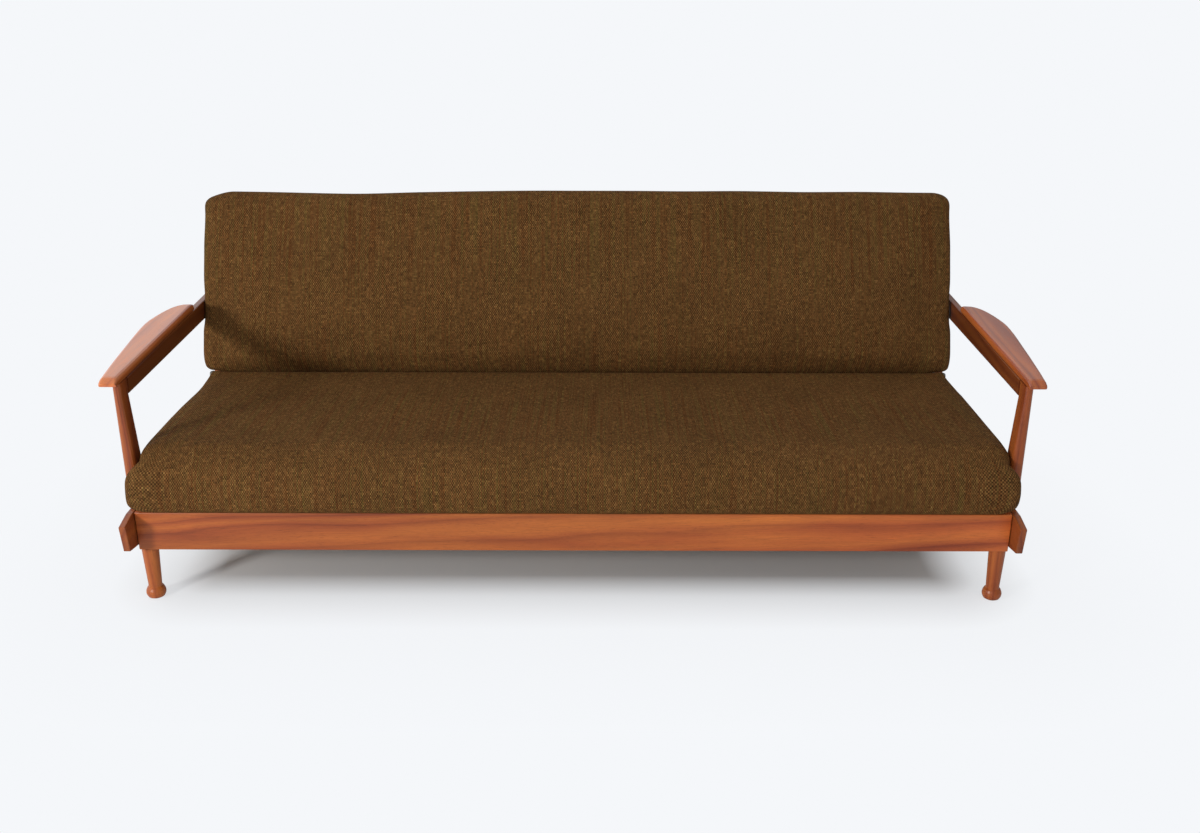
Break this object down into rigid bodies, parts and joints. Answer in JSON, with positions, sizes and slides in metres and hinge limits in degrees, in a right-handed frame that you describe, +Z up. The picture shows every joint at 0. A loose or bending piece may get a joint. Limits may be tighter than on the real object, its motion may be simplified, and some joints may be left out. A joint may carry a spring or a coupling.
{
  "type": "sofa",
  "caption": "Mid-century teak bed settee with leaf-shaped armrests; the tweed seat draws forward on runners and the hinged back drops level with it to make a bed.",
  "frame": {"origin": "on the floor, under the middle of the bounding box", "axes": "+X to the sitter's left across the width (the viewer's right), +Y towards the back, +Z up"},
  "size_m": [2.059, 0.8811, 0.7741],
  "materials": {
    "teak": "satin lacquered teak",
    "beech": "planed beech, clear sealed",
    "cover": "woven wool tweed over foam",
    "webbing": "rubberised webbing",
    "steel": "zinc-plated pressed steel",
    "lining": "brown hardboard"
  },
  "bodies": {
    "frame": {"side_board_L": "teak", "side_board_R": "teak", "arm_post_L": "teak", "arm_post_R": "teak", "rear_post_L": "teak", "rear_post_R": "teak", "arm_rail_L": "teak", "arm_rail_R": "teak", "armrest_L": "teak", "armrest_R": "teak", "seat_runner_L": "beech", "seat_runner_R": "beech", "cam_plate_L": "steel", "cam_plate_R": "steel", "rear_leg_block_L": "beech", "rear_leg_block_R": "beech", "rear_leg_L": "teak", "rear_leg_R": "teak", "pull_stop_L": "beech", "pull_stop_R": "beech", "front_cross_rail": "beech", "rear_cross_rail": "teak"},
    "seat": {"seat_front_rail": "teak", "seat_side_rail_L": "beech", "seat_side_rail_R": "beech", "seat_rear_rail": "beech", "seat_centre_bearer": "beech", "front_leg_block_L": "beech", "front_leg_block_R": "beech", "front_leg_L": "teak", "front_leg_R": "teak", "seat_guide_L": "beech", "seat_guide_R": "beech", "hinge_plate_L": "steel", "hinge_plate_R": "steel", "hinge_pin_L": "steel", "hinge_pin_R": "steel", "seat_webbing": "webbing", "seat_cushion": "cover"},
    "back": {"back_stile_L": "beech", "back_stile_R": "beech", "back_bottom_rail": "beech", "back_top_rail": "beech", "back_centre_stile": "beech", "swing_arm_L": "steel", "swing_arm_R": "steel", "cam_stud_L": "steel", "cam_stud_R": "steel", "back_webbing": "webbing", "back_cushion": "cover", "back_panel": "lining"}
  },
  "joints": [
    {"name": "seat_slide", "type": "slide", "parent": "frame", "child": "seat", "axis": [0, -1, 0], "range_m": [0, 0.3]},
    {"name": "back_drop", "type": "hinge", "parent": "seat", "child": "back", "pos_m": [0, 0.18429, 0.3333], "axis": [-1, 0, 0], "range_deg": [0, 71]}
  ],
  "couplings": [
    {"joint": "back_drop", "follows": "seat_slide", "rad_per_m": 4.1306}
  ]
}
